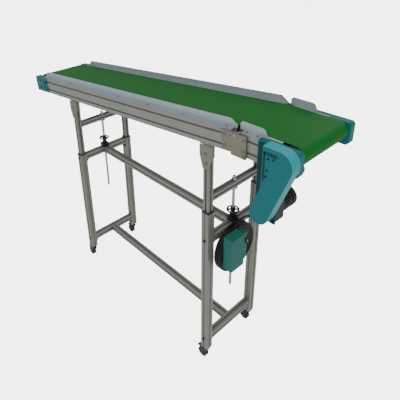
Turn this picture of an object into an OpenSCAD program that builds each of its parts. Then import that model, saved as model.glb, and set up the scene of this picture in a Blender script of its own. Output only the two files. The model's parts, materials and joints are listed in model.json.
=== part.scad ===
// Belt conveyor section on a height-adjustable aluminium stand.
// The bed climbs towards +X and a short level head section joins it at a knuckle.
// Origin: on the floor, under the middle of the object's box. Millimetres, +Z up.

/* [Stand] */
// Distance between the two leg frames, centre to centre
frame_x = 1016; // [900:2:1100]
// Distance between the legs of one frame, centre to centre
frame_y = 330; // [320:2:350]
// Side of the square lower leg tube
lower_leg = 40; // [38:1:42]
// Side of the square upper leg that slides in the tube
upper_leg = 30; // [28:1:31]
// Top of the lower legs under the head end
lower_top_head = 893; // [860:1:900]
// Top of the lower legs under the tail end
lower_top_tail = 768; // [766:1:800]
// Side of the square rails between the legs
rail = 35; // [30:1:38]
// Height of the middle rails' centre line
mid_z = 749; // [740:1:760]
// Height of the bottom rails' centre line
bottom_z = 147; // [120:1:200]
// Height of the upper cross rails' centre line
top_z = 962; // [955:1:980]

/* [Casters] */
// Height from the floor to the bottom of the legs
caster_h = 82; // [80:1:90]
// Radius of the caster wheel
wheel_r = 26; // [22:1:27]
// How far the wheel trails behind its swivel
trail = 20; // [14:1:24]

/* [Bed] */
// Climb of the bed in degrees
climb = 5.7; // [4:0.1:6]
// Place of the knuckle's axis along the conveyor
knee_x = 650; // [640:1:660]
// Height of the knuckle's axis
knee_z = 1308; // [1300:1:1320]
// Length of the bed from the knuckle to its tail end
bed_len = 1603; // [1560:1:1640]
// Length of the head section from the knuckle to the drive roller's axis
head_len = 212; // [205:1:220]
// Height of the side beams
beam_h = 90; // [90:1:100]
// Thickness of the side beams
beam_t = 30; // [30:1:32]
// Width of the belt
belt_w = 282; // [270:2:290]
// Thickness of the belt
belt_t = 2; // [1.5:0.5:3]
// Height of the side guards above the beams
guard_h = 33; // [25:1:45]

/* [Drive] */
// Radius of the drive and tail rollers
roller_r = 36; // [34:1:36]
// Radius of the roller at the knuckle
bend_r = 18; // [16:1:20]
// Drop from the drive roller's axis to the motor's axis
motor_drop = 220; // [210:1:230]
// Distance of the motor's axis behind the drive roller's axis
motor_back = 65; // [60:1:70]

/* [Height adjusters] */
// Radius of the lifting screw
screw_r = 7; // [6:0.5:8]
// Radius of the handwheel's rim
handwheel_r = 30; // [28:1:34]
// Height of the handwheel's rim
handwheel_z = 822; // [815:1:830]

/* [Hidden] */

$fn = 48;
gap = 0.3;                 // between pieces that move past each other
shaft_fit = 0.06;          // radial clearance of a running shaft
eps = 0.01;

fx = frame_x / 2;
fy = frame_y / 2;
rail_len = frame_y - lower_leg;
top_rail_len = frame_y - upper_leg;
slot_open = 8;

// bed frame: x along the bed, z square to it, origin on the knuckle's axis
belt_under = bend_r + gap;
beam_top = belt_under - 2;
beam_bottom = beam_top - beam_h;
roller_w = belt_under - gap - roller_r;
wrap_r = roller_r + gap;
beam_out = fy + upper_leg / 2;
beam_in = beam_out - beam_t;
beam_mid = (beam_out + beam_in) / 2;
beam_mid_w = (beam_top + beam_bottom) / 2;
tail_u = -(bed_len - wrap_r - belt_t);
housing_len = 152;
beam_start = 20;           // the beams stop this short of the knuckle's axis
slot_w_top = beam_top - 22.5;
slot_w_bottom = slot_w_top - 45;
motor_u = head_len - motor_back;
motor_w = roller_w - motor_drop;
housing_head_u = 96;
plate_t = 4;
housing_out = beam_out + 1.6;
housing_r = 55;            // the housings' rounded ends
bracket_y = housing_out;
bracket_t = 4;
guard_y = bracket_y + bracket_t;
guard_depth = 44;
guard_nose = 50;           // radius of the drive guard round the drive roller
pulley_y = guard_y + 18;
pulley_w = 18;
return_u = -760;
return_r = 10;
return_w = roller_w - wrap_r - belt_t - gap - return_r;
shaft_r = 8;
pivot_r = 6;
knuckle_y = beam_out + gap;
swing_y = knuckle_y + plate_t + gap;
pivot_reach = swing_y + plate_t + 1;

// middle of the object's box, from the middle of the leg frames
housing_tip = beam_mid_w + sqrt(pow(housing_r, 2) - pow(bed_len + tail_u, 2));
x_low = knee_x - bed_len * cos(climb) - housing_tip * sin(climb);
x_high = knee_x + head_len + guard_nose;
middle_x = (x_low + x_high) / 2;
middle_y = (pivot_reach - guard_y - guard_depth) / 2;

// cable
cable_d = 10;
coil_in = 82;
coil_out = 122;
coil_t = 32;
coil_y = -33;
pin_r = 6;
pin_z = 715;
pin_side = 54;             // pins stand this far either side of the coil's middle
coil_z = pin_z - sqrt(pow(coil_in - pin_r - 0.1, 2) - pow(pin_side, 2));
gland_h = 5;
gland_r = 8;
clip_x = 612;
clip_y = 95;
clip_z = 1150;
lead_route = [[clip_x, clip_y, clip_z - 1], [612, 95, 1125], [612, 95, 1100], [614, 96, 1060],
    [623, 97, 1015], [633, 97, 965], [638, 95, 915], [634, 92, 865], [620, 89, 822], [600, 84, 792],
    [580, 72, 782], [566, 50, 789], [562, 22, 800], [561, -6, 801], [561, -30, 793], [561, -50, 782]];

// controls
box_x = fx + 63;
coil_x = box_x - gland_h - coil_t / 2;
box_y0 = -133;
box_w = 83;
box_z0 = 610;
box_h = 168;
box_d = 42;
panel_w = 34;
knob_y = box_y0 + box_w + panel_w / 2;
knob_z = box_z0 + 118;
switch_z = box_z0 + 66;

// height of the beams' underside over a place x
function under_z(x) = knee_z + ((x - knee_x) + beam_bottom * sin(climb)) / cos(climb) * sin(climb)
    + beam_bottom * cos(climb);

module shifted() translate([-middle_x, -middle_y, 0]) children();
module in_bed() shifted() translate([knee_x, 0, knee_z]) rotate([0, -climb, 0]) children();
module in_head() shifted() translate([knee_x, 0, knee_z]) children();
// extrudes a side view, drawn in x and z, along y
module along_y(y0, y1) translate([0, max(y0, y1), 0]) rotate([90, 0, 0])
    linear_extrude(abs(y1 - y0)) children();
module along_x(length) rotate([90, 0, 90]) linear_extrude(length, center = true) children();
module axle(r, y0, y1) translate([0, min(y0, y1), 0]) rotate([-90, 0, 0]) cylinder(r = r, h = abs(y1 - y0));
module both_sides() { children(); mirror([0, 1, 0]) children(); }
module rounded_square(w, h, r) {
    square([w - 2 * r, h], center = true);
    square([w, h - 2 * r], center = true);
    for (x = [-1, 1], y = [-1, 1]) translate([x * (w / 2 - r), y * (h / 2 - r)]) circle(r);
}

// ---- extruded profiles ----
module t_slot(lip, depth, cavity) {
    translate([-slot_open / 2, -lip - eps]) square([slot_open, lip + 1]);
    translate([-cavity / 2, -depth]) square([cavity, depth - lip]);
}
// w by h bar with a T slot on each side, or two slots 45 apart on a side that is wider,
// and a hollow between the slots; a bar that is drilled across has no hollow
module slotted_bar(w, h, lip = 2.5, depth = 8, cavity = 12, hollow = 8) {
    rows = h > 60 ? [-22.5, 22.5] : [0];
    difference() {
        square([w, h], center = true);
        for (y = rows) translate([0, y]) square(hollow, center = true);
        if (h > 60) square([hollow, hollow + 12], center = true);
        for (s = [-1, 1]) {
            translate([0, s * h / 2]) rotate(s > 0 ? 0 : 180) t_slot(lip, depth, cavity);
            for (y = rows) translate([s * w / 2, y]) rotate(-90 * s) t_slot(lip, depth, cavity);
        }
    }
}
module lower_leg_profile() {
    difference() {
        rounded_square(lower_leg, lower_leg, 1.5);
        square(upper_leg + 2 * gap, center = true);
        for (a = [0:90:270]) rotate(a) translate([-slot_open / 2, lower_leg / 2 - 3]) square([slot_open, 4]);
    }
}

// ---- stand ----
module lower_legs() color("silver") shifted()
    for (sx = [-1, 1], sy = [-1, 1]) translate([sx * fx, sy * fy, caster_h])
        linear_extrude((sx > 0 ? lower_top_head : lower_top_tail) - caster_h) lower_leg_profile();
module cross_rail(z) difference() {
    translate([0, 0, z]) rotate([0, 0, 90]) along_x(rail_len) slotted_bar(rail, rail, 3, 7, 14, 0);
    translate([0, 0, z - rail]) cylinder(r = screw_r + 2, h = 2 * rail);
}
module cross_rails() color("silver") shifted()
    for (sx = [-1, 1]) translate([sx * fx, 0, 0]) {
        cross_rail(mid_z);
        translate([0, 0, bottom_z]) rotate([0, 0, 90]) along_x(rail_len) slotted_bar(rail, rail, 3, 9, 14);
    }
module long_rails() color("silver") shifted()
    for (z = [mid_z, bottom_z]) translate([0, 0, z])
        along_x(frame_x - rail) slotted_bar(rail, rail, 3, 9, 14);
collar_h = 7;
foot_h = 14;
stem_r = 5;
// a guide collar on each lower leg's top, and a foot plug that holds the caster's stem in its bottom
module leg_end_caps() color("dimgray") shifted()
    for (sx = [-1, 1], sy = [-1, 1]) translate([sx * fx, sy * fy, 0]) {
        translate([0, 0, sx > 0 ? lower_top_head : lower_top_tail]) linear_extrude(collar_h) difference() {
            rounded_square(lower_leg, lower_leg, 2);
            square(upper_leg + 2 * gap, center = true);
        }
        translate([0, 0, caster_h]) linear_extrude(foot_h) difference() {
            square(upper_leg + 2 * gap, center = true);
            circle(stem_r + shaft_fit);
        }
    }
bearing_w = 38;
bearing_h = 29;
module screw_bearings() color("black") shifted()
    for (sx = [-1, 1]) translate([sx * fx, 0, mid_z + rail / 2]) difference() {
        union() {
            translate([-bearing_w / 2, -bearing_w / 2, 0]) cube([bearing_w, bearing_w, bearing_h - 8]);
            cylinder(r = 15, h = bearing_h);
        }
        translate([0, 0, -1]) cylinder(r = screw_r + 2, h = bearing_h + 2);
    }
bracket_leg = 24;
module corner_bracket() difference() {
    cube([bracket_leg, bracket_leg, bracket_leg]);
    translate([bracket_leg, 0, bracket_leg]) axle(bracket_leg - 5, -1, bracket_leg + 1);
}
// under each cross rail against the leg
module corner_brackets() color("black") shifted()
    for (sx = [-1, 1], sy = [-1, 1], z = [mid_z - rail / 2, bottom_z - rail / 2])
        translate([sx * fx, sy * rail_len / 2, z]) rotate([180, 0, sy > 0 ? -90 : 90])
            translate([0, -bracket_leg / 2, 0]) corner_bracket();
hanger_t = 3;
hanger_pins = [[coil_y - pin_side, pin_z], [coil_y + pin_side, pin_z], [coil_y - pin_side, pin_z - 75]];
// hangs on the middle rail; its pins carry the coil and, at their ends, the control box
module hanger_plate() color("dimgray") shifted() translate([fx + rail / 2, 0, 0]) {
    translate([0, coil_y - pin_side - 20, pin_z - 90]) cube([hanger_t, 2 * pin_side + 40, 125]);
    for (p = hanger_pins) translate([hanger_t, p[0], p[1]]) rotate([0, 90, 0])
        cylinder(r = pin_r, h = box_x - fx - rail / 2 - hanger_t);
}
lid_t = 5;
box_wall = 4;
panel_back = 8;            // the switch panel stands back from the box's front
knob_shaft_r = 3;
switch_pin_r = 1.5;
switch_x = box_d - panel_back - 5;     // the rocker's pin
module control_box() color("teal") shifted() translate([box_x, box_y0, box_z0]) {
    difference() {
        cube([box_d, box_w, box_h]);
        translate([box_wall, box_wall, box_wall]) cube([box_d, box_w - 2 * box_wall, box_h - 2 * box_wall]);
    }
    translate([-gland_h, 14, 32]) rotate([0, 90, 0]) cylinder(r = gland_r, h = gland_h);
    difference() {
        translate([0, box_w, 18]) cube([box_d - panel_back, panel_w, box_h - 34]);
        translate([0, knob_y - box_y0, 0]) {
            translate([box_d - 20, 0, knob_z - box_z0]) rotate([0, 90, 0])
                cylinder(r = knob_shaft_r + shaft_fit, h = 20);
            translate([box_d - 20, -5.5, switch_z - box_z0 - 8]) cube([20, 11, 16]);
            translate([switch_x, 0, switch_z - box_z0]) axle(switch_pin_r + shaft_fit, -8.5, 8.5);
        }
    }
}
module control_lid() color("teal") shifted() translate([box_x + box_d, box_y0, box_z0]) difference() {
    translate([lid_t / 2, box_w / 2, box_h / 2]) rotate([90, 0, 90])
        linear_extrude(lid_t, center = true) rounded_square(box_w, box_h, 4);
    for (y = [8, box_w - 8], z = [8, box_h - 8]) translate([-1, y, z]) rotate([0, 90, 0])
        cylinder(r = 1.6, h = lid_t + 2);
}
module speed_knob() color("black") shifted()
    translate([box_x + box_d - 18, knob_y, knob_z]) rotate([0, 90, 0]) {
    cylinder(r = knob_shaft_r, h = 14);
    translate([0, 0, 10 + gap]) cylinder(r = 11, h = 14);
    translate([-1, 0, 24]) cube([2, 10, 1.5]);
}
module power_switch() color("red") shifted() translate([box_x + switch_x, knob_y, switch_z]) {
    intersection() {
        translate([-2, -5, -7]) cube([12, 10, 14]);
        axle(7.6, -6, 6);
    }
    axle(switch_pin_r, -8, 8);
}

// ---- cable ----
// the route with one more point, on its own smooth curve, between each two
function midway(p, i) = (9 * (p[i] + p[i + 1]) - p[max(i - 1, 0)] - p[min(i + 2, len(p) - 1)]) / 16;
function smoothed(p) = [for (i = [0:len(p) - 1]) each i < len(p) - 1 ? [p[i], midway(p, i)] : [p[i]]];
function unit(v) = v / norm(v);
function tangent(p, i) = unit(p[min(i + 1, len(p) - 1)] - p[max(i - 1, 0)]);
function side_of(n, t) = unit(n - (n * t) * t);
function sides(p, i, n) = i == len(p) ? []
    : let (s = side_of(n, tangent(p, i))) concat([s], sides(p, i + 1, s));
module swept_tube(p, r, n) {
    normals = sides(p, 0, [1, 0, 0]);
    points = [for (i = [0:len(p) - 1], k = [0:n - 1])
        let (t = tangent(p, i), a = 360 * k / n)
        p[i] + r * (cos(a) * normals[i] + sin(a) * cross(t, normals[i]))];
    walls = [for (i = [0:len(p) - 2], k = [0:n - 1])
        [i * n + k, i * n + (k + 1) % n, (i + 1) * n + (k + 1) % n, (i + 1) * n + k]];
    ends = [[for (k = [n - 1:-1:0]) k], [for (k = [0:n - 1]) (len(p) - 1) * n + k]];
    polyhedron(points, concat([for (w = walls) [w[3], w[2], w[1], w[0]]],
        [for (e = ends) [for (k = [n - 1:-1:0]) e[k]]]));
}
module cable_lead() color("black") shifted() swept_tube(smoothed(lead_route), cable_d / 2, 8);
module cable_coil() color("black") shifted() translate([coil_x, coil_y, coil_z]) rotate([0, 90, 0])
    rotate_extrude() translate([(coil_in + coil_out) / 2, 0]) rounded_square(coil_out - coil_in, coil_t, 8);

// ---- lifting frame ----
insert_len = 280;
cap_drop = plate_t / cos(climb);
module upper_leg_bar(sx) {
    foot = (sx > 0 ? lower_top_head : lower_top_tail) - insert_len;
    intersection() {
        translate([sx * fx, 0, foot]) linear_extrude(under_z(fx) + 60 - foot)
            slotted_bar(upper_leg, upper_leg);
        translate([0, 500, 0]) rotate([90, 0, 0]) linear_extrude(1000)
            polygon([[-900, 0], [900, 0], [900, under_z(900) - cap_drop], [-900, under_z(-900) - cap_drop]]);
    }
}
module upper_legs() color("silver") shifted()
    for (sx = [-1, 1], sy = [-1, 1]) translate([0, sy * fy, 0]) upper_leg_bar(sx);
module top_cross_rails() color("silver") shifted()
    for (sx = [-1, 1]) translate([sx * fx, 0, 0]) difference() {
        translate([0, 0, top_z]) rotate([0, 0, 90]) along_x(top_rail_len)
            slotted_bar(upper_leg, upper_leg, 2.5, 6.5, 12, 0);
        translate([0, 0, top_z - upper_leg]) cylinder(r = screw_r, h = 2 * upper_leg);
    }
screw_foot_head = 379;
screw_foot_tail = 481;
module lifting_screws() color("dimgray") shifted()
    for (sx = [-1, 1]) {
        foot = sx > 0 ? screw_foot_head : screw_foot_tail;
        translate([sx * fx, 0, foot]) cylinder(r = screw_r, h = top_z + upper_leg / 2 + 22 - foot);
        translate([sx * fx, 0, top_z + upper_leg / 2]) cylinder(r = 12, h = 10, $fn = 6);
        translate([sx * fx, 0, top_z - upper_leg / 2 - 8]) cylinder(r = 17, h = 8);
    }

// ---- bed ----
return_shaft_r = 4;
module in_bed_mirror() in_bed() mirror([0, 1, 0]) children();
// the return roller's shaft turns in a short bore in each beam's inner wall
module side_beam() difference() {
    translate([-(bed_len - housing_len + beam_start) / 2, beam_mid, beam_mid_w])
        along_x(bed_len - housing_len - beam_start) slotted_bar(beam_t, beam_h);
    translate([return_u, 0, return_w]) axle(return_shaft_r + shaft_fit, beam_in - 1, beam_in + 7);
}
module side_beam_near() color("silver") in_bed_mirror() side_beam();
module side_beam_far() color("silver") in_bed() side_beam();
guard_t = 1.5;
guard_wall_y = beam_in + 6;
flange_out = beam_out - 2;
bed_guard_u = -(bed_len - 108);
// upstanding wall and the flange that is screwed to the beam's top slot
module guard_section(outline, u0, u1) {
    along_y(guard_wall_y, guard_wall_y + guard_t) polygon(outline);
    translate([u0, guard_wall_y, beam_top]) cube([u1 - u0, flange_out - guard_wall_y, guard_t]);
}
guard_top = beam_top + guard_h;
module bed_guard() guard_section([[bed_guard_u, beam_top], [bed_guard_u, beam_top + 12],
    [bed_guard_u + 22, guard_top], [-38, guard_top], [-10, beam_top + 12], [-10, beam_top]],
    bed_guard_u, -24);
module side_guard_near() color("lightsteelblue") in_bed_mirror() bed_guard();
module side_guard_far() color("lightsteelblue") in_bed() bed_guard();
plate_edge = beam_in - 0.2;
module slider_plate() color("gainsboro") in_bed() {
    translate([tail_u + 44, -plate_edge, beam_top]) cube([-beam_start - tail_u - 44, 2 * plate_edge, 2]);
    both_sides() translate([tail_u + 44, plate_edge - 1.5, beam_top - 18])
        cube([-beam_start - tail_u - 44, 1.5, 18]);
}
// belt as a side view: upper run, half turn round a roller, lower run
module belt_side(u_end, u_top, u_bottom) {
    s = sign(u_end - u_top);
    difference() {
        union() {
            translate([u_end, roller_w]) circle(wrap_r + belt_t, $fn = 96);
            translate([min(u_end, u_top), belt_under]) square([abs(u_end - u_top), belt_t]);
            translate([min(u_end, u_bottom), roller_w - wrap_r - belt_t])
                square([abs(u_end - u_bottom), belt_t]);
        }
        translate([u_end, roller_w]) circle(wrap_r, $fn = 96);
        translate([s > 0 ? u_end - 3 * wrap_r : u_end, roller_w - wrap_r]) square([3 * wrap_r, 2 * wrap_r]);
    }
}
belt_gap = 12;
module belt_main() color("green") in_bed() along_y(-belt_w / 2, belt_w / 2) belt_side(tail_u, -1, -belt_gap);
module housing_plate(y0, y1, end_u, axis_u, butt_u, shaft) {
    s = sign(end_u - butt_u);
    difference() {
        along_y(y0, y1) difference() {
            union() {
                translate([min(butt_u, axis_u), beam_bottom - 1])
                    square([abs(axis_u - butt_u), beam_h + 1 - gap]);
                intersection() {
                    translate([min(axis_u, end_u), beam_bottom - 1])
                        square([abs(end_u - axis_u), beam_h + 1 - gap]);
                    translate([axis_u, beam_mid_w]) circle(housing_r, $fn = 96);
                }
            }
        }
        translate([axis_u, 0, roller_w]) axle(shaft + shaft_fit, y0 - 1, y1 + 1);
        for (k = [1, 2]) translate([butt_u + s * (22 * k + 5), (y1 + y1 - 7) / 2, beam_mid_w])
            cube([10, 9, beam_h - 30], center = true);
    }
}
module tail_housing()
    housing_plate(beam_in, housing_out, -bed_len, tail_u, -(bed_len - housing_len), shaft_r);
module tail_housing_near() color("teal") in_bed_mirror() tail_housing();
module tail_housing_far() color("teal") in_bed() tail_housing();
// a flat plate outside each leg, tapering down, and a cap plate under the beam
module leg_bracket(sx) {
    top = under_z(sx * fx);
    translate([sx * fx, 0, 0]) along_y(upper_leg / 2, upper_leg / 2 + plate_t) polygon([
        [-32, top - 8], [-32, top - 55], [-upper_leg / 2, top - 112], [upper_leg / 2, top - 112],
        [36, top - 55], [36, top - 1], [0, top - plate_t]]);
    translate([sx * fx + upper_leg / 2, -upper_leg / 2, top - 66]) cube([plate_t, upper_leg - 2, 60]);
}
module leg_caps() in_bed() both_sides() for (sx = [-1, 1]) {
    u = ((sx * fx - knee_x) + beam_bottom * sin(climb)) / cos(climb);
    translate([u - 36, beam_in, beam_bottom - plate_t]) cube([72, beam_t, plate_t]);
}
module leg_brackets() color("gray") {
    shifted() for (sx = [-1, 1]) both_sides() translate([0, fy, 0]) leg_bracket(sx);
    leg_caps();
}
bolt_r = 3.3;
module knuckle_bolt_holes(points) for (p = points) translate([p[0], 0, p[1]])
    axle(bolt_r, beam_out - 5, beam_out + 20);
bed_bolts = [[-54, slot_w_top], [-26, slot_w_top], [-54, slot_w_bottom], [-26, slot_w_bottom]];
module knuckle_plates_bed() color("gray") in_bed() both_sides() difference() {
    along_y(knuckle_y, knuckle_y + plate_t) union() {
        translate([-66, beam_bottom + 4]) square([76, beam_h - 10]);
        circle(14);
    }
    axle(pivot_r + shaft_fit, beam_out - 1, beam_out + 12);
    knuckle_bolt_holes(bed_bolts);
}
tie_us = [-1171, -660, -150];
module bed_cross_ties() color("silver") in_bed() for (u = tie_us) translate([u, 0, roller_w - 4])
    rotate([0, 0, 90]) along_x(2 * beam_in) slotted_bar(upper_leg, upper_leg);
// an arm under the far beam with a ring that the cable hangs through
module cable_clip() color("gray") {
    clip_u = (clip_x - knee_x + beam_bottom * sin(climb)) / cos(climb);
    in_bed() translate([clip_u - 9, clip_y + 15, beam_bottom - 3])
        cube([18, beam_mid - clip_y - 15, 3]);
    shifted() translate([clip_x, clip_y, clip_z]) {
        translate([-9, 15, 0]) cube([18, 3, under_z(clip_x) - clip_z - 1.5]);
        difference() {
            union() {
                cylinder(r = 12, h = 12);
                translate([-9, 0, 0]) cube([18, 16, 12]);
            }
            translate([0, 0, -1]) cylinder(r = 8, h = 14);
        }
    }
}

// ---- head section ----
module head_beams() color("silver") in_head() both_sides()
    translate([(housing_head_u + beam_start) / 2, beam_mid, beam_mid_w])
        along_x(housing_head_u - beam_start) slotted_bar(beam_t, beam_h);
module head_guards() color("lightsteelblue") in_head() both_sides()
    guard_section([[1, beam_top], [1, beam_top + 24], [9, guard_top], [94, guard_top], [105, guard_top - 4],
        [118, beam_top + 4], [118, beam_top]], 24, 94);
module head_slider_plate() color("gainsboro") in_head() {
    length = head_len - 44 - beam_start;
    translate([beam_start, -plate_edge, beam_top]) cube([length, 2 * plate_edge, 2]);
    both_sides() translate([beam_start, plate_edge - 1.5, beam_top - 18])
        cube([housing_head_u - beam_start, 1.5, 18]);
}
module belt_head() color("green") in_head() along_y(-belt_w / 2, belt_w / 2) belt_side(head_len, 1, belt_gap);
module head_housing() housing_plate(beam_in, housing_out, head_len + 42, head_len, housing_head_u, shaft_r);
module head_housing_near() color("teal") in_head() mirror([0, 1, 0]) head_housing();
module head_housing_far() color("teal") in_head() {
    head_housing();
    translate([head_len, housing_out, roller_w]) axle(26, 0, 6);
}
drive_at = [head_len, roller_w];
motor_at = [motor_u, motor_w];
// where a line touching both wheels, whose radii differ by step, meets the one of radius r
function rim_point(side, r, step) = let (v = motor_at - drive_at, a = asin(step / norm(v)))
    side * unit([v[1], -v[0]]) * cos(a) * r + unit(v) * sin(a) * r;
guard_toe = 38;
// side view of the drive guard, shrunk all round by d
module drive_outline(d) {
    left = motor_u + 2 + d;
    top = roller_w + guard_nose - d;
    nose = guard_nose - d;
    toe = guard_toe - d;
    translate(drive_at) circle(nose, $fn = 96);
    translate(motor_at) circle(toe, $fn = 96);
    polygon([[left, top], [head_len, top], drive_at + rim_point(-1, nose, nose - toe),
        motor_at + rim_point(-1, toe, nose - toe), motor_at, motor_at + toe * [-cos(15), sin(15)],
        [left, roller_w - 110]]);
}
wall = 2;
module drive_guard() color("darkcyan") in_head() difference() {
    along_y(-guard_y, -(guard_y + guard_depth)) drive_outline(0);
    along_y(-guard_y + 1, -(guard_y + guard_depth - wall)) drive_outline(wall);
}
gear_side = 84;
gear_y = bracket_y;
gear_len = 48;
module gearbox() color("dimgray") in_head() translate([motor_u, 0, motor_w]) difference() {
    union() {
        along_y(-gear_y, -(gear_y - gear_len)) rounded_square(gear_side, gear_side, 8);
        axle(20, -gear_y, -(bracket_y + bracket_t));
    }
    axle(7.5 + shaft_fit, -(gear_y + 10), -(gear_y - 30));
}
motor_r = 40;
motor_y0 = gear_y - gear_len;
motor_len = 62;
module motor() color("black") in_head() translate([motor_u, 0, motor_w]) {
    axle(motor_r, -motor_y0, -motor_y0 + motor_len);
    axle(motor_r + 2, -motor_y0 + motor_len, -motor_y0 + motor_len + 20);
    translate([-22, -motor_y0 + 8, 20]) cube([44, 42, 38]);
    translate([0, 0, 50]) axle(8, -motor_y0 + 50, -motor_y0 + 62);
}
module motor_bracket() color("darkslategray") in_head() difference() {
    along_y(-bracket_y, -(bracket_y + bracket_t)) polygon([[motor_u - 45, motor_w - 46],
        [motor_u + 42, motor_w - 46], [motor_u + 42, motor_w + 60], [motor_u + 30, beam_top - 4],
        [motor_u - 45, beam_top - 4]]);
    translate([motor_u, 0, motor_w]) axle(20, -200, -170);
    translate([motor_u, 0, motor_w]) for (x = [-1, 1], z = [-1, 1])
        translate([x * 33, 0, z * 33]) axle(4.3, -200, -170);
}
head_bolts = [[38, slot_w_top], [38, slot_w_bottom]];
module knuckle_plates_head() color("gray") in_head() both_sides() difference() {
    union() {
        along_y(swing_y, swing_y + plate_t) union() {
            translate([-14, beam_bottom - 6]) square([66, beam_h]);
            circle(14);
        }
        along_y(knuckle_y, swing_y + eps) translate([34, beam_bottom - 6]) square([18, beam_h]);
    }
    axle(pivot_r + shaft_fit, beam_out - 1, beam_out + 12);
    knuckle_bolt_holes(head_bolts);
}
big_pulley = 30;
small_pulley = 18;
// outer tangent loop round both pulleys
module belt_loop(d) {
    big = big_pulley + d;
    small = small_pulley + d;
    translate(drive_at) circle(big);
    translate(motor_at) circle(small);
    polygon([drive_at + rim_point(1, big, big - small), motor_at + rim_point(1, small, big - small),
        motor_at + rim_point(-1, small, big - small), drive_at + rim_point(-1, big, big - small)]);
}
module drive_belt() color("black") in_head() along_y(-pulley_y, -(pulley_y + pulley_w - 4)) difference() {
    belt_loop(3);
    belt_loop(gap);
}

// ---- rollers and pulleys ----
module roller(r, shaft, face, reach) {
    axle(r, -face / 2, face / 2);
    axle(shaft, -reach, reach);
}
drum_wall = 3;
// a tube on two discs with round holes in them
module drum(r, shaft, face, reach) {
    difference() {
        axle(r, -face / 2, face / 2);
        axle(r - drum_wall, -face / 2 - 1, face / 2 + 1);
    }
    both_sides() difference() {
        axle(r - drum_wall, face / 2 - 12, face / 2 - 4);
        for (a = [0:90:270]) rotate([0, a, 0]) translate([(r + shaft) / 2, 0, 0]) axle(5, 0, face);
    }
    axle(shaft, -reach, reach);
}
module tail_roller() color("silver") in_bed() translate([tail_u, 0, roller_w])
    drum(roller_r, shaft_r, belt_w, beam_out);
module drive_roller() color("silver") in_head() translate([head_len, 0, roller_w]) {
    drum(roller_r, shaft_r, belt_w, beam_out);
    axle(shaft_r, -(pulley_y + pulley_w + 1), -beam_out);
}
module bend_roller() color("silver") in_head() {
    roller(bend_r, pivot_r, belt_w, pivot_reach);
}
module return_roller() color("silver") in_bed() translate([return_u, 0, return_w])
    roller(return_r, return_shaft_r, belt_w, beam_in + 6);
module drive_pulley() color("dimgray") in_head() translate([head_len, 0, roller_w]) difference() {
    axle(big_pulley, -(pulley_y - 1), -(pulley_y + pulley_w));
    axle(shaft_r, -(pulley_y - 2), -(pulley_y + pulley_w + 1));
}
module motor_pulley() color("dimgray") in_head() translate([motor_u, 0, motor_w]) {
    axle(small_pulley, -(pulley_y - 1), -(pulley_y + pulley_w));
    axle(7.5, -(gear_y - 28), -(pulley_y + pulley_w));
}

// ---- handwheels ----
module handwheel(sx) shifted() translate([sx * fx, 0, 0]) {
    hub_z = mid_z + rail / 2 + bearing_h + gap;
    difference() {
        union() {
            translate([0, 0, hub_z]) cylinder(r = 11, h = handwheel_z + 12 - hub_z);
            for (a = [45:90:315]) rotate(a) translate([8, -3.5, handwheel_z - 3])
                cube([handwheel_r - 9, 7, 6]);
        }
        translate([0, 0, hub_z - 1]) cylinder(r = screw_r + shaft_fit, h = 60);
    }
    translate([0, 0, handwheel_z]) rotate_extrude() translate([handwheel_r - 4, 0]) circle(4, $fn = 24);
}
module handwheel_head() color("dimgray") handwheel(1);
module handwheel_tail() color("dimgray") handwheel(-1);

// ---- casters: 1 head near, 2 head far, 3 tail near, 4 tail far ----
fork_in = 11;
brake_x = -24;
brake_z = 58;
brake_pin_r = 2;
wheel_pin_r = 4;
module at_caster(k) shifted() translate([(k < 3 ? 1 : -1) * fx, (k % 2 == 1 ? -1 : 1) * fy, 0]) children();
module caster_fork(k) color("black") at_caster(k) {
    translate([0, 0, caster_h - 14]) cylinder(r = 15, h = 14 - gap);
    translate([0, 0, caster_h - 1]) cylinder(r = stem_r, h = 11);
    difference() {
        union() {
            translate([-trail - 12, -fork_in - 4, caster_h - 18]) cube([trail + 26, 2 * fork_in + 8, 4]);
            for (s = [-1, 1]) translate([0, s * (fork_in + 2), 0]) along_y(-2, 2)
                polygon([[-trail - 9, wheel_r - 6], [-trail + 9, wheel_r - 6],
                    [14, caster_h - 16], [-trail - 12, caster_h - 16]]);
        }
        translate([-trail, 0, wheel_r]) axle(wheel_pin_r + shaft_fit, -20, 20);
        translate([brake_x, 0, brake_z]) axle(brake_pin_r + shaft_fit, -20, 20);
    }
}
module caster_wheel(k) color("black") at_caster(k) translate([-trail, 0, wheel_r]) {
    axle(wheel_r, -fork_in + 1, fork_in - 1);
    axle(wheel_pin_r, -fork_in - 5, fork_in + 5);
}
// a pedal that swings down until it nearly meets the tyre
module caster_brake(k) color("black") at_caster(k) translate([brake_x, 0, brake_z]) {
    rotate([0, -18, 0]) translate([-30, -9, -2]) cube([31, 18, 4]);
    axle(brake_pin_r, -fork_in - 4, fork_in + 4);
}
module caster_fork_1() caster_fork(1);
module caster_fork_2() caster_fork(2);
module caster_fork_3() caster_fork(3);
module caster_fork_4() caster_fork(4);
module caster_wheel_1() caster_wheel(1);
module caster_wheel_2() caster_wheel(2);
module caster_wheel_3() caster_wheel(3);
module caster_wheel_4() caster_wheel(4);
module caster_brake_1() caster_brake(1);
module caster_brake_2() caster_brake(2);
module caster_brake_3() caster_brake(3);
module caster_brake_4() caster_brake(4);

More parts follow.
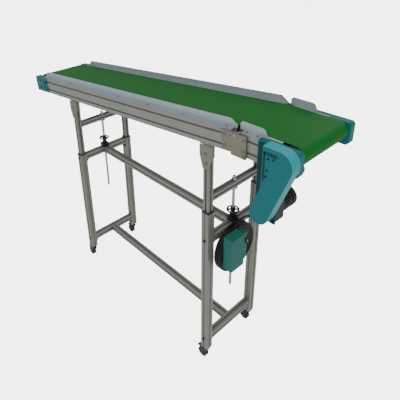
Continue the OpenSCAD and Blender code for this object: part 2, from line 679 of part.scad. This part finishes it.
lower_legs();
cross_rails();
long_rails();
leg_end_caps();
screw_bearings();
corner_brackets();
hanger_plate();
control_box();
control_lid();
cable_lead();
cable_coil();
upper_legs();
top_cross_rails();
lifting_screws();
side_beam_near();
side_beam_far();
side_guard_near();
side_guard_far();
slider_plate();
belt_main();
tail_housing_near();
tail_housing_far();
leg_brackets();
knuckle_plates_bed();
bed_cross_ties();
cable_clip();
head_beams();
head_guards();
head_slider_plate();
belt_head();
head_housing_near();
head_housing_far();
drive_guard();
gearbox();
motor();
motor_bracket();
knuckle_plates_head();
drive_belt();
tail_roller();
drive_roller();
bend_roller();
return_roller();
motor_pulley();
drive_pulley();
handwheel_head();
handwheel_tail();
speed_knob();
power_switch();
caster_fork_1();
caster_fork_2();
caster_fork_3();
caster_fork_4();
caster_wheel_1();
caster_wheel_2();
caster_wheel_3();
caster_wheel_4();
caster_brake_1();
caster_brake_2();
caster_brake_3();
caster_brake_4();
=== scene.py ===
import json
from math import atan2, cos, pi, radians, sin

import bpy
import bmesh
from mathutils import Matrix, Vector


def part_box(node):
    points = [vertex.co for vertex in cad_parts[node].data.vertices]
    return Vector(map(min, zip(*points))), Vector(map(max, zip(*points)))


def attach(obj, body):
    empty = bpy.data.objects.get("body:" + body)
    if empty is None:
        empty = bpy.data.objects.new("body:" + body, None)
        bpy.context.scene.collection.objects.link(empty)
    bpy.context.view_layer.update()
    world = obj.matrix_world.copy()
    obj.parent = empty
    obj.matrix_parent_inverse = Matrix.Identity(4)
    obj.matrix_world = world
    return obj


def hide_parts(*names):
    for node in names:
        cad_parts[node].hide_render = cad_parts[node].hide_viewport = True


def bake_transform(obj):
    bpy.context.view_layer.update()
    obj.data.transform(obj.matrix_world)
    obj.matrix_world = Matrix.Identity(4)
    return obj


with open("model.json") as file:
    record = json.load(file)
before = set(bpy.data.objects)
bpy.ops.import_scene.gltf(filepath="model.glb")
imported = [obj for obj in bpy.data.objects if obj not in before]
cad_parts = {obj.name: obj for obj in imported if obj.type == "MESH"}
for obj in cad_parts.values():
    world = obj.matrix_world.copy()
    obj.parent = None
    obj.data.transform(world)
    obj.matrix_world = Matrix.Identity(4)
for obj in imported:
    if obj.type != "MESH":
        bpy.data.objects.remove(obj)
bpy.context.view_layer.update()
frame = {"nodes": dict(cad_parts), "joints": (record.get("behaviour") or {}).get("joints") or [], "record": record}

# ---- where things are ----
# The middle of the leg frames on the floor and the knuckle's axis carry every place below.
# Lengths are written in millimetres, as on a drawing, and turned to metres here.
MM = 0.001
legs_low, legs_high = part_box("lower_legs")
middle = (legs_low + legs_high) / 2
joints = {joint["name"]: joint for joint in frame["joints"]}
knuckle = Vector(joints["head_tilt"]["pos_m"])
CLIMB = radians(5.7)


def place(x, y, z):
    return Vector((middle.x + x * MM, middle.y + y * MM, z * MM))


def on_bed(u, y, w):
    return knuckle + MM * Vector((u * cos(CLIMB) - w * sin(CLIMB), y, u * sin(CLIMB) + w * cos(CLIMB)))


def on_head(u, y, w):
    return knuckle + MM * Vector((u, y, w))


# ---- camera ----
# Above eye level at the near side of the head end, looking along the conveyor to its tail.
YAW, PITCH, ROLL = radians(49.64), radians(24.52), radians(-2.35)
ahead = Vector((-sin(YAW) * cos(PITCH), cos(YAW) * cos(PITCH), -sin(PITCH)))
level = Vector((cos(YAW), sin(YAW), 0))
upward = level.cross(ahead)
right = cos(ROLL) * level + sin(ROLL) * upward
upward = cos(ROLL) * upward - sin(ROLL) * level
camera_data = bpy.data.cameras.new("camera")
camera_data.sensor_width = 36
camera_data.lens = 38.14
camera_data.shift_x = 0.10
camera_data.shift_y = -0.20
camera = bpy.data.objects.new("camera", camera_data)
bpy.context.scene.collection.objects.link(camera)
turn = Matrix((right, upward, -ahead)).transposed()
camera.matrix_world = Matrix.Translation(place(1494.3, -1245.9, 1986.4)) @ turn.to_4x4()
bpy.context.scene.camera = camera


# ---- cables ----
# One black rubber-sheathed cable, 10 mm thick, runs from the motor through the clip under the bed,
# down to twelve stored turns on the hanger's pins, and ends in the back of the control box.
def deselect():
    bpy.ops.object.select_all(action="DESELECT")


def only(piece):
    deselect()
    piece.select_set(True)
    bpy.context.view_layer.objects.active = piece


def linear(code):
    parts = [int(code[k:k + 2], 16) / 255 for k in (1, 3, 5)]
    return tuple(c / 12.92 if c <= 0.04045 else ((c + 0.055) / 1.055) ** 2.4 for c in parts) + (1.0,)


def add_node(tree, kind, inputs=None, **settings):
    node = tree.nodes.new("ShaderNode" + kind)
    for key, value in settings.items():
        setattr(node, key, value)
    for key, value in (inputs or {}).items():
        if isinstance(value, bpy.types.NodeSocket):
            tree.links.new(value, node.inputs[key])
        else:
            node.inputs[key].default_value = value
    return node


def new_surface(name, metallic=0.0, coat=0.0, sheen=0.5):
    material = bpy.data.materials.new(name)
    material.use_nodes = True
    tree = material.node_tree
    shader = tree.nodes["Principled BSDF"]
    shader.inputs["Metallic"].default_value = metallic
    shader.inputs["Coat Weight"].default_value = coat
    shader.inputs["Specular IOR Level"].default_value = sheen
    return material, tree, shader


def grained(name, light, dark, grain_mm, stretch=(1, 1, 1), rough=(0.4, 0.5), metallic=0.0,
            bump_mm=0.05, coat=0.0, stain=0.25, sheen=0.5):
    """A surface with a fine grain of its own and broad, faint handling marks."""
    material, tree, shader = new_surface(name, metallic, coat, sheen)
    spot = add_node(tree, "TexCoord").outputs["Object"]
    drawn = add_node(tree, "Mapping", {"Vector": spot, "Scale": stretch}).outputs["Vector"]
    grain = add_node(tree, "TexNoise", {"Vector": drawn, "Scale": 1000 / grain_mm, "Detail": 5.0})
    marks = add_node(tree, "TexNoise", {"Vector": spot, "Scale": 9.0, "Detail": 8.0, "Roughness": 0.65})
    band = add_node(tree, "MapRange", {"Value": marks.outputs["Fac"], "From Min": 0.45, "From Max": 0.7,
                                      "To Min": 0.0, "To Max": stain})
    base = add_node(tree, "Mix", {0: grain.outputs["Fac"], 6: linear(light), 7: linear(dark)}, data_type="RGBA")
    worn = add_node(tree, "Mix", {0: band.outputs["Result"], 6: base.outputs[2], 7: linear(dark)},
                    data_type="RGBA")
    gloss = add_node(tree, "MapRange", {"Value": grain.outputs["Fac"], "To Min": rough[0], "To Max": rough[1]})
    bump = add_node(tree, "Bump", {"Height": grain.outputs["Fac"], "Strength": 0.6, "Distance": bump_mm * MM})
    tree.links.new(worn.outputs[2], shader.inputs["Base Color"])
    tree.links.new(gloss.outputs["Result"], shader.inputs["Roughness"])
    tree.links.new(bump.outputs["Normal"], shader.inputs["Normal"])
    return material


def dress(material, slot_name):
    """The finish of every CAD node that the record gives this slot."""
    for row in frame["record"]["subparts"]:
        if row["material_slot"] == slot_name:
            mesh = frame["nodes"][row["node"]].data
            mesh.materials.clear()
            mesh.materials.append(material)


# Cable sheath rubber: near black, softly shiny, faintly dusty.
cable_rubber = grained("cable sheath rubber", "#131314", "#070808", 3, rough=(0.38, 0.55), bump_mm=0.04,
                       sheen=0.3)
dress(cable_rubber, "cable_rubber")
CABLE_D = 10


def smooth_line(points, steps):
    """More points on the smooth curve through the given ones."""
    line = []
    for k in range(len(points) - 1):
        a, b = points[max(k - 1, 0)], points[k]
        c, d = points[k + 1], points[min(k + 2, len(points) - 1)]
        for step in range(steps):
            t = step / steps
            line.append(0.5 * (2 * b + (c - a) * t + (2 * a - 5 * b + 4 * c - d) * t * t
                               + (3 * b - a - 3 * c + d) * t * t * t))
    return line + [points[-1]]


def sheath(name, line, diameter, material):
    """A tube along a line of points, closed at both ends."""
    curve = bpy.data.curves.new(name, "CURVE")
    curve.dimensions = "3D"
    curve.bevel_depth = diameter * MM / 2
    curve.bevel_resolution = 3
    curve.use_fill_caps = True
    spline = curve.splines.new("POLY")
    spline.points.add(len(line) - 1)
    for knot, point in zip(spline.points, line):
        knot.co = (*point, 1)
    tube = bpy.data.objects.new(name, curve)
    bpy.context.scene.collection.objects.link(tube)
    only(tube)
    bpy.ops.object.convert(target="MESH")
    tube = bpy.context.view_layer.objects.active
    tube.name = name
    tube.data.materials.clear()
    tube.data.materials.append(material)
    bpy.ops.object.shade_smooth()
    return tube


LEAD = [(612, 95, 1149), (612, 95, 1125), (612, 95, 1100), (614, 96, 1060),
        (623, 97, 1015), (633, 97, 965), (638, 95, 915), (634, 92, 865), (620, 89, 822), (600, 84, 792),
        (580, 72, 782), (566, 50, 789), (562, 22, 800), (561, -6, 801), (561, -30, 793), (561, -50, 782)]
coil_low, coil_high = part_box("cable_coil")
coil_middle = (coil_low + coil_high) / 2
COIL_R, COIL_PITCH, COIL_COLUMNS = 117, 10, 3
ENTRY_R = 120.5
START_TURN = atan2(782 - coil_middle.z / MM, -17)
END_TURN = 2 * pi * 11 + radians(193) - START_TURN


def column(turn):
    layer, step = divmod(turn, COIL_COLUMNS)
    return 11 * (1 - step) if layer % 2 == 0 else 11 * (step - 1)


def eased(value):
    value = min(max(value, 0), 1)
    return value * value * (3 - 2 * value)


def coil_point(angle):
    """A point on the stored turns: outermost layer first, each turn beside the last."""
    turns = angle / (2 * pi)
    side, radius = column(0), COIL_R + (ENTRY_R - COIL_R) * (1 - eased(turns / 0.2))
    for k in range(11):
        share = eased((turns - (k + 0.97 - 0.075 * k)) / 0.16 + 0.5)
        side += share * (column(k + 1) - column(k))
        radius -= share * COIL_PITCH * ((k + 1) // COIL_COLUMNS - k // COIL_COLUMNS)
    face = START_TURN + angle
    return coil_middle + MM * Vector((side, radius * cos(face), radius * sin(face)))


STEPS = 480
coil_line = [coil_point(END_TURN * k / STEPS) for k in range(1, STEPS + 1)]
ring_top = place(612, 95, 1156)
supply_line = smooth_line([ring_top] + [place(*p) for p in LEAD], 4) + coil_line
supply_cable = sheath("supply_cable", supply_line, CABLE_D, cable_rubber)
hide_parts("cable_lead", "cable_coil")
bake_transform(supply_cable)

MOTOR_CABLE = [(797, -73, 1120), (797, -55, 1120), (797, -25, 1121), (796, 8, 1119), (793, 38, 1116),
               (786, 68, 1115), (769, 91, 1118),
               (742, 106, 1127), (710, 112, 1147), (680, 110, 1174), (655, 106, 1196), (633, 100, 1202),
               (618, 96, 1191), (612, 95, 1174), (612, 95, 1156)]
motor_line = smooth_line([place(*p) for p in MOTOR_CABLE], 6)
motor_cable = sheath("motor_cable", motor_line, CABLE_D, cable_rubber)
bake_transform(motor_cable)


# ---- frame bars ----
# Extruded aluminium with T slots, satin anodised. The die leaves fine lines along each bar.
def settle(piece, name, material, body, angle=35):
    """Puts a finished piece at the origin, names it, and hangs it on its body."""
    only(piece)
    bpy.ops.object.transform_apply(location=True, rotation=True, scale=True)
    bpy.ops.object.mode_set(mode="EDIT")
    bpy.ops.mesh.select_all(action="SELECT")
    bpy.ops.mesh.normals_make_consistent(inside=False)
    bpy.ops.object.mode_set(mode="OBJECT")
    bpy.ops.object.shade_smooth_by_angle(angle=radians(angle))
    piece.name = name
    piece.data.materials.clear()
    piece.data.materials.append(material)
    if body:
        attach(piece, body)
    return piece


def anodised(name, light, dark, along):
    """Satin anodised metal with lines drawn along one axis."""
    stretch = [1, 1, 1]
    stretch[along] = 0.012
    return grained(name, light, dark, 1.6, tuple(stretch), rough=(0.34, 0.5), metallic=0.45,
                   bump_mm=0.03, stain=0.35)


aluminium_along = anodised("satin anodised aluminium, lines along", "#8f918c", "#6d706a", 0)
aluminium_across = anodised("satin anodised aluminium, lines across", "#8f918c", "#6d706a", 1)
# The upright copy is a shade darker than the bars along and across: painted shade on the legs.
aluminium_upright_shaded = anodised("satin anodised aluminium, lines upright, painted shade", "#888b83", "#676a62", 2)
dress(aluminium_along, "profile_aluminium")
for node, material in (("lower_legs", aluminium_upright_shaded), ("upper_legs", aluminium_upright_shaded),
                       ("cross_rails", aluminium_across), ("top_cross_rails", aluminium_across),
                       ("bed_cross_ties", aluminium_across)):
    frame["nodes"][node].data.materials.clear()
    frame["nodes"][node].data.materials.append(material)

# Guard sheet: bent aluminium, brushed, a little bluer than the bars.
guard_sheet = anodised("brushed aluminium sheet", "#aab3bd", "#8d96a0", 0)
dress(guard_sheet, "sheet_aluminium")
# Zinc-plated plates: grey with a warm cast and a fine crystal bloom.
zinc = grained("zinc-plated steel", "#8b897a", "#66655a", 2.5, rough=(0.4, 0.6), metallic=0.6, stain=0.4)
dress(zinc, "plate_steel")
bright_sheet = anodised("bright steel sheet", "#c6c8ca", "#a9abad", 0)
dress(bright_sheet, "slider_steel")
# Turned steel: rings round the rollers show as fine lines across them.
turned = grained("turned steel", "#b9bbbd", "#8b8d90", 1.2, (1, 0.05, 1), rough=(0.25, 0.42), metallic=0.95)
dress(turned, "roller_steel")
# Black-oxide steel: near black, oily sheen.
black_steel = grained("black-oxide steel", "#2b2b2d", "#151516", 2, rough=(0.32, 0.55), metallic=0.5)
dress(black_steel, "black_steel")
black_plastic = grained("moulded black nylon", "#242526", "#151616", 1.4, rough=(0.5, 0.65), bump_mm=0.08)
dress(black_plastic, "black_plastic")
drive_rubber = grained("moulded drive-belt rubber", "#1d1d1d", "#101010", 2, rough=(0.6, 0.75))
dress(drive_rubber, "drive_rubber")
tyre_rubber = grained("caster tyre rubber", "#262627", "#141414", 2, rough=(0.55, 0.75), bump_mm=0.1)
dress(tyre_rubber, "caster_tread")
motor_paint = grained("motor enamel", "#1c1d20", "#0d0e10", 2.2, rough=(0.4, 0.55), bump_mm=0.08, sheen=0.3)
dress(motor_paint, "motor_paint")
cast_alloy = grained("cast aluminium alloy", "#8b8c8f", "#6b6c70", 1.8, rough=(0.45, 0.62), metallic=0.7,
                     bump_mm=0.15)
dress(cast_alloy, "gearbox_alloy")
switch_red = grained("glossy red switch cap", "#b3221c", "#8d1512", 4, rough=(0.18, 0.28), bump_mm=0.01)
dress(switch_red, "switch_red")


# ---- teal covers ----
# Sheet steel, stove enamelled: slightly wavy gloss, darker where it is handled.
def enamel(name, light, dark):
    return grained(name, light, dark, 1.1, rough=(0.34, 0.46), bump_mm=0.03, stain=0.5, sheen=0.15)


teal = enamel("teal stove enamel", "#0f666b", "#0a565b")
# A paler copy of the teal, used as painted highlight on the drive guard's edge.
highlight_teal = enamel("pale teal painted highlight", "#2c98a1", "#22858e")
# The dark teal also paints the shadow under the lip of the drive guard's recess.
dark_teal = enamel("dark teal enamel and painted recess shadow", "#063d3f", "#032c2e")
dress(teal, "teal_enamel")
dress(dark_teal, "dark_teal_enamel")
control_paint = grained("control box powder coat", "#146a60", "#0c5049", 1.6, rough=(0.45, 0.6), bump_mm=0.12,
                        sheen=0.25)
dress(control_paint, "control_teal")


# ---- belt ----
# Woven carrier with a green PVC face: matt, a fine weave showing through, and long scuffs.
def belt_cover():
    material, tree, shader = new_surface("green PVC belt cover", sheen=0.1)
    spot = add_node(tree, "TexCoord").outputs["Object"]
    weave_mm = 4   # coarser than the real 1 mm weave so that it shows
    warp = add_node(tree, "TexWave", {"Vector": spot, "Scale": 1000 / weave_mm / 6.3, "Distortion": 0.4},
                    bands_direction="X")
    weft = add_node(tree, "TexWave", {"Vector": spot, "Scale": 1000 / weave_mm / 6.3, "Distortion": 0.4},
                    bands_direction="Y")
    cloth = add_node(tree, "Math", {0: warp.outputs["Fac"], 1: weft.outputs["Fac"]}, operation="MULTIPLY")
    drawn = add_node(tree, "Mapping", {"Vector": spot, "Scale": (0.15, 1, 1)}).outputs["Vector"]
    scuff = add_node(tree, "TexNoise", {"Vector": drawn, "Scale": 60.0, "Detail": 8.0, "Roughness": 0.7})
    tone = add_node(tree, "MapRange", {"Value": scuff.outputs["Fac"], "From Min": 0.35, "From Max": 0.7})
    base = add_node(tree, "Mix", {0: tone.outputs["Result"], 6: linear("#0c5a1c"), 7: linear("#126a25")},
                    data_type="RGBA")
    rough = add_node(tree, "MapRange", {"Value": scuff.outputs["Fac"], "To Min": 0.42, "To Max": 0.62})
    bump = add_node(tree, "Bump", {"Height": cloth.outputs[0], "Strength": 0.35, "Distance": 0.12 * MM})
    tree.links.new(base.outputs[2], shader.inputs["Base Color"])
    tree.links.new(rough.outputs["Result"], shader.inputs["Roughness"])
    tree.links.new(bump.outputs["Normal"], shader.inputs["Normal"])
    return material


belt_green = belt_cover()
dress(belt_green, "belt_pvc")
BELT_W, BELT_T = 282, 2
BEND_R = 18.3      # the belt's underside over the small roller
RETURN_W = -56.3   # the underside of the belt's lower run


def belt_bridge(name, first, last, bow):
    """The stretch of belt that bends at the knuckle, between the bed's run and the head's."""
    bpy.ops.mesh.primitive_grid_add(x_subdivisions=12, y_subdivisions=8, size=1)
    piece = bpy.context.active_object
    for vertex in piece.data.vertices:
        t = vertex.co.x + 0.5
        along = first.lerp(last, t)
        vertex.co = (along.x, knuckle.y + vertex.co.y * BELT_W * MM, along.z + bow * MM * 4 * t * (1 - t))
    only(piece)
    thick = piece.modifiers.new("thickness", "SOLIDIFY")
    thick.thickness = BELT_T * MM
    thick.offset = 1
    bpy.ops.object.modifier_apply(modifier="thickness")
    settle(piece, name, belt_green, None)
    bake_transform(piece)
    return piece


belt_bridge("belt_over_knuckle", on_bed(-1.5, 0, BEND_R), on_head(1.5, 0, BEND_R), 0.1)
belt_bridge("belt_under_knuckle", on_bed(-13, 0, RETURN_W), on_head(13, 0, RETURN_W), -0.6)


# ---- bolts ----
# Steel socket-head and button-head bolts, each turned with a rounded rim and a sunk round socket.
def bolts(name, points, axis, radius, height, body, material=zinc, socket=0.5):
    """One piece holding a row of like bolts whose heads stand out along axis."""
    deselect()
    bpy.ops.mesh.primitive_cylinder_add(vertices=24, radius=radius * MM, depth=height * MM)
    model = bpy.context.active_object
    bpy.ops.object.mode_set(mode="EDIT")
    bpy.ops.mesh.select_all(action="DESELECT")
    shape = bmesh.from_edit_mesh(model.data)
    for face in shape.faces:
        face.select = face.normal.z > 0.9
    bpy.ops.mesh.bevel(offset=radius * MM * 0.18, segments=2)
    bpy.ops.mesh.select_all(action="DESELECT")
    shape = bmesh.from_edit_mesh(model.data)
    for face in shape.faces:
        face.select = face.normal.z > 0.98
    bpy.ops.mesh.inset(thickness=radius * MM * (1 - socket) * 0.82)
    bpy.ops.mesh.extrude_region_move(TRANSFORM_OT_translate={"value": (0, 0, -height * MM * 0.55)})
    bpy.ops.object.mode_set(mode="OBJECT")
    facing = Vector(axis).normalized().to_track_quat("Z", "Y").to_matrix().to_4x4()
    copies = []
    for point in points:
        copy = bpy.data.objects.new(name, model.data.copy())
        bpy.context.scene.collection.objects.link(copy)
        copy.data.transform(Matrix.Translation(point) @ facing)
        copies.append(copy)
    bpy.data.objects.remove(model)
    deselect()
    for copy in copies:
        copy.select_set(True)
    bpy.context.view_layer.objects.active = copies[0]
    if len(copies) > 1:
        bpy.ops.object.join()
    return settle(bpy.context.active_object, name, material, body)


LEG_X, LEG_Y = 508, 165        # the legs' middle lines, either side of the stand's middle
BEAM_UNDER = {"head": 1219.8, "tail": 1118.3}   # the beams' underside over each pair of legs
MID_RAIL_Z, LOW_RAIL_Z = 749, 147
BEAM_OUT = 180
PLATE_OUT = BEAM_OUT + 4.3
SWING_OUT = PLATE_OUT + 4.3
SLOT_TOP, SLOT_LOW = -6.2, -51.2
for side, word in ((-1, "near"), (1, "far")):
    out = (0, side, 0)
    bolts(f"knuckle_bed_bolts_{word}", [on_bed(-54, side * (PLATE_OUT + 1.5), w)
                                        for w in (SLOT_TOP, SLOT_LOW)], out, 6.5, 4, "bed")
    # Countersunk ones where the head's plate swings over them.
    bolts(f"knuckle_flush_screws_{word}", [on_bed(-26, side * (PLATE_OUT - 1.85), w)
                                           for w in (SLOT_TOP, SLOT_LOW)], out, 6, 4, "bed")
    bolts(f"knuckle_head_bolts_{word}", [on_head(42, side * (SWING_OUT + 1.5), w)
                                         for w in (SLOT_TOP, SLOT_LOW, -72)], out, 6.5, 4, "head")
    bolts(f"knuckle_pivot_nuts_{word}", [on_head(0, side * (SWING_OUT + 0.4), 0)], out, 11, 3.4, "head",
          socket=0.62)
    for end_side, end in ((1, "head"), (-1, "tail")):
        x = end_side * LEG_X
        bolts(f"leg_bracket_bolts_{end}_{word}",
              [place(x, side * (PLATE_OUT + 1), BEAM_UNDER[end] - 43),
               place(x + 3, side * (PLATE_OUT + 1), BEAM_UNDER[end] - 86)], out, 7, 4.5, "bed")
        bolts(f"leg_foot_bolts_{end}_{word}",
              [place(x, side * (LEG_Y + 22.5), z) for z in (MID_RAIL_Z, LOW_RAIL_Z)],
              out, 6, 5, "stand", black_steel)
    bolts(f"tail_housing_bolts_{word}", [on_bed(u, side * (BEAM_OUT + 3), w) for u in (-1462, -1550)
                                         for w in (SLOT_TOP, SLOT_LOW)], out, 6, 4, "bed", black_steel)
    bolts(f"guard_screws_{word}", [on_bed(u, side * 167, 18.6) for u in range(-1420, -40, 228)],
          (-sin(CLIMB), 0, cos(CLIMB)), 5, 2.6, "bed")
    bolts(f"head_guard_screws_{word}", [on_head(u, side * 167, 18.6) for u in (36, 82)],
          (0, 0, 1), 5, 2.6, "head")

# ---- small fittings ----
# Blocks, strips and rings: plates, ribs and marks that a maker screws on, and on the drive guard a paler strip of
# painted highlight, dark blocks of painted shadow and a black slab of painted shade.
def block(name, where, low, high, material, body, soft=0.6):
    """A box with softened edges, placed through one of the where functions."""
    deselect()
    bpy.ops.mesh.primitive_cube_add(size=1)
    piece = bpy.context.active_object
    for vertex in piece.data.vertices:
        vertex.co = where(*[a + (b - a) * (c + 0.5) for a, b, c in zip(low, high, vertex.co)])
    bpy.ops.object.mode_set(mode="EDIT")
    bpy.ops.mesh.select_all(action="SELECT")
    bpy.ops.mesh.bevel(offset=soft * MM, segments=2, affect="EDGES")
    bpy.ops.object.mode_set(mode="OBJECT")
    return settle(piece, name, material, body)


def strip(name, line, y0, y1, thick, material, body):
    """A bent strip of sheet along a side-view line on the head, standing proud of it."""
    deselect()
    bpy.ops.mesh.primitive_grid_add(x_subdivisions=len(line) - 1, y_subdivisions=1, size=1)
    piece = bpy.context.active_object
    for vertex in piece.data.vertices:
        u, w = line[round((vertex.co.x + 0.5) * (len(line) - 1))]
        vertex.co = on_head(u, y0 if vertex.co.y < 0 else y1, w)
    bend = piece.modifiers.new("sheet", "SOLIDIFY")
    bend.thickness = thick * MM
    bend.offset = 0
    bpy.ops.object.modifier_apply(modifier="sheet")
    return settle(piece, name, material, body)


# A separate paler strip round the drive guard's top, nose and front edge is painted highlight where light falls on
# that edge.
DRIVE_U, DRIVE_W, MOTOR_U, MOTOR_W = 212, -18, 147, -238
GUARD_IN, GUARD_OUT, NOSE_R, TOE_R = -185.6, -229.6, 50.7, 38.7
LEAN = radians(-19.5)
rim_line = [(150, DRIVE_W + NOSE_R), (180, DRIVE_W + NOSE_R)]
for step in range(17):
    turn_by = pi / 2 + (LEAN - pi / 2) * step / 16
    rim_line.append((DRIVE_U + NOSE_R * cos(turn_by), DRIVE_W + NOSE_R * sin(turn_by)))
rim_line.append((MOTOR_U + TOE_R * cos(LEAN), MOTOR_W + TOE_R * sin(LEAN)))
strip("drive_guard_rim_highlight", rim_line, GUARD_OUT - 1.2, GUARD_IN - 1, 1.2, highlight_teal, "head")
# Two thin dark teal blocks on the guard's face are painted shadow under the overhanging lip of its recess.
block("guard_recess_shadow_top", on_head, (156, GUARD_OUT - 0.8, 4), (204, GUARD_OUT + 0.3, 14), dark_teal,
      "head", 0.3)
block("guard_recess_shadow_side", on_head, (153, GUARD_OUT - 0.8, -96), (160, GUARD_OUT + 0.3, 14), dark_teal,
      "head", 0.3)
face_spots = ((172, -8), (192, -4), (169, -52), (167, -76))
bolts("guard_face_bolts", [on_head(u, GUARD_OUT - 1.2, w) for u, w in face_spots],
      (0, -1, 0), 4, 2.6, "head", black_steel)
# Black bolts hold the housings to the head's beams, a screw in each tail housing stands for the
# belt's take-up, and a black slab in the gap behind the guard's edge is painted shade.
for side, word in ((-1, "near"), (1, "far")):
    bolts(f"head_housing_bolts_{word}", [on_head(u, side * (BEAM_OUT + 3), w) for u in (106, 132)
                                         for w in (SLOT_TOP, SLOT_LOW)], (0, side, 0), 6, 4, "head",
          black_steel)
    take_up = (-cos(CLIMB), 0, -sin(CLIMB))
    bolts(f"take_up_screw_{word}", [on_bed(-1600, side * 172, -28)], take_up, 4.5, 9, "bed")
block("guard_gap_shade", on_head, (137, -185.4, -66), (146, -182, 12), black_steel, "head")

# Motor: cooling ribs round its body, a lid on the terminal box and screws on the gearbox.
ribs = [on_head(MOTOR_U, y, MOTOR_W) for y in range(-84, -130, -7)]
bolts("motor_ribs", ribs, (0, 1, 0), 41.6, 2.4, "head", motor_paint, 0.96)
block("terminal_box_lid", on_head, (MOTOR_U - 23, -129, MOTOR_W + 57.5), (MOTOR_U + 23, -85, MOTOR_W + 60.5),
      motor_paint, "head")
bolts("gearbox_screws", [on_head(MOTOR_U + a, -133.6, MOTOR_W + b) for a in (-33, 33) for b in (-33, 33)],
      (0, 1, 0), 4.5, 4, "head", black_steel)

# A plate with a dark clamping knob on the lower tube locks the head end's far leg.
block("leg_lock_plate", place, (LEG_X + 20.3, LEG_Y - 14, 838), (LEG_X + 23.3, LEG_Y + 14, 925),
      zinc, "stand")
bolts("leg_lock_knob", [place(LEG_X + 28.5, LEG_Y, 882)], (1, 0, 0), 11, 11, "stand",
      black_plastic, 0.4)

# Control box: corner screws on its front and a mark on the knob.
box_low, box_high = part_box("control_box")
bolts("control_box_screws", [Vector((box_high.x + MM, y, z)) for y in (box_low.y + 8 * MM, box_low.y + 75 * MM)
                             for z in (box_low.z + 8 * MM, box_high.z - 8 * MM)], (1, 0, 0), 3, 2, "stand",
      black_steel)
ivory = grained("ivory marking paint", "#e9e7dc", "#d8d5c6", 2, rough=(0.4, 0.5), bump_mm=0.01)
knob_low, knob_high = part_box("speed_knob")
knob_middle = (knob_low + knob_high) / 2


def on_knob(x, y, z):
    return Vector((knob_high.x + x * MM, knob_middle.y + y * MM, knob_middle.z + z * MM))


block("speed_knob_mark", on_knob, (-0.3, -0.9, 2), (0.5, 0.9, 9), ivory, "speed_knob", 0.1)

# Casters: the axle's nut shows on each cheek of the fork.
for k in range(1, 5):
    axle_at = Vector(joints[f"caster_{k}_roll"]["pos_m"])
    fork_low, fork_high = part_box(f"caster_fork_{k}")
    for side, word in ((-1, "near"), (1, "far")):
        cheek = (fork_high.y if side > 0 else fork_low.y) + side * 1.2 * MM
        bolts(f"caster_axle_{k}_{word}", [Vector((axle_at.x, cheek, axle_at.z))], (0, side, 0), 5, 3,
              f"caster_swivel_{k}", zinc, 0.6)


# ---- floor and light ----
# A pale seamless floor under a soft white studio. Both glow more to the camera than they light.
SEEN_GLOW = 4.5
bpy.ops.mesh.primitive_plane_add(size=40, location=(0, 0, 0))
floor = bpy.context.active_object
floor.name = "studio_floor"
floor_paint, tree, shader = new_surface("white studio floor", sheen=0.1)
shader.inputs["Base Color"].default_value = linear("#e8e8e8")
seen = add_node(tree, "LightPath").outputs["Is Camera Ray"]
grit = add_node(tree, "TexNoise", {"Scale": 30.0})
gloss = add_node(tree, "MapRange", {"Value": grit.outputs["Fac"], "To Min": 0.8, "To Max": 0.9})
tree.links.new(gloss.outputs["Result"], shader.inputs["Roughness"])
glow = add_node(tree, "MapRange", {"Value": seen, "To Min": 0.25, "To Max": SEEN_GLOW})
tree.links.new(glow.outputs["Result"], shader.inputs["Emission Strength"])
shader.inputs["Emission Color"].default_value = (1, 1, 1, 1)
floor.data.materials.append(floor_paint)
world = bpy.data.worlds.new("studio")
bpy.context.scene.world = world
world.use_nodes = True
tree = world.node_tree
seen = add_node(tree, "LightPath").outputs["Is Camera Ray"]
glow = add_node(tree, "MapRange", {"Value": seen, "To Min": 0.55, "To Max": SEEN_GLOW})
tree.links.new(glow.outputs["Result"], tree.nodes["Background"].inputs["Strength"])
tree.nodes["Background"].inputs["Color"].default_value = (1, 1, 1, 1)


def softbox(name, spot, aim, size, power):
    lamp = bpy.data.lights.new(name, "AREA")
    lamp.shape = "SQUARE"
    lamp.size = size
    lamp.energy = power
    holder = bpy.data.objects.new(name, lamp)
    bpy.context.scene.collection.objects.link(holder)
    holder.location = spot
    holder.rotation_euler = (Vector(aim) - Vector(spot)).to_track_quat("-Z", "Y").to_euler()


softbox("key light", (2.2, -2.6, 3.4), (0, 0, 0.8), 2.2, 105)
softbox("fill light", (-3.2, -1.8, 2.6), (0, 0, 0.8), 2.5, 28)
softbox("back light", (0.5, 3.4, 3.0), (0, 0, 1.0), 2.5, 30)
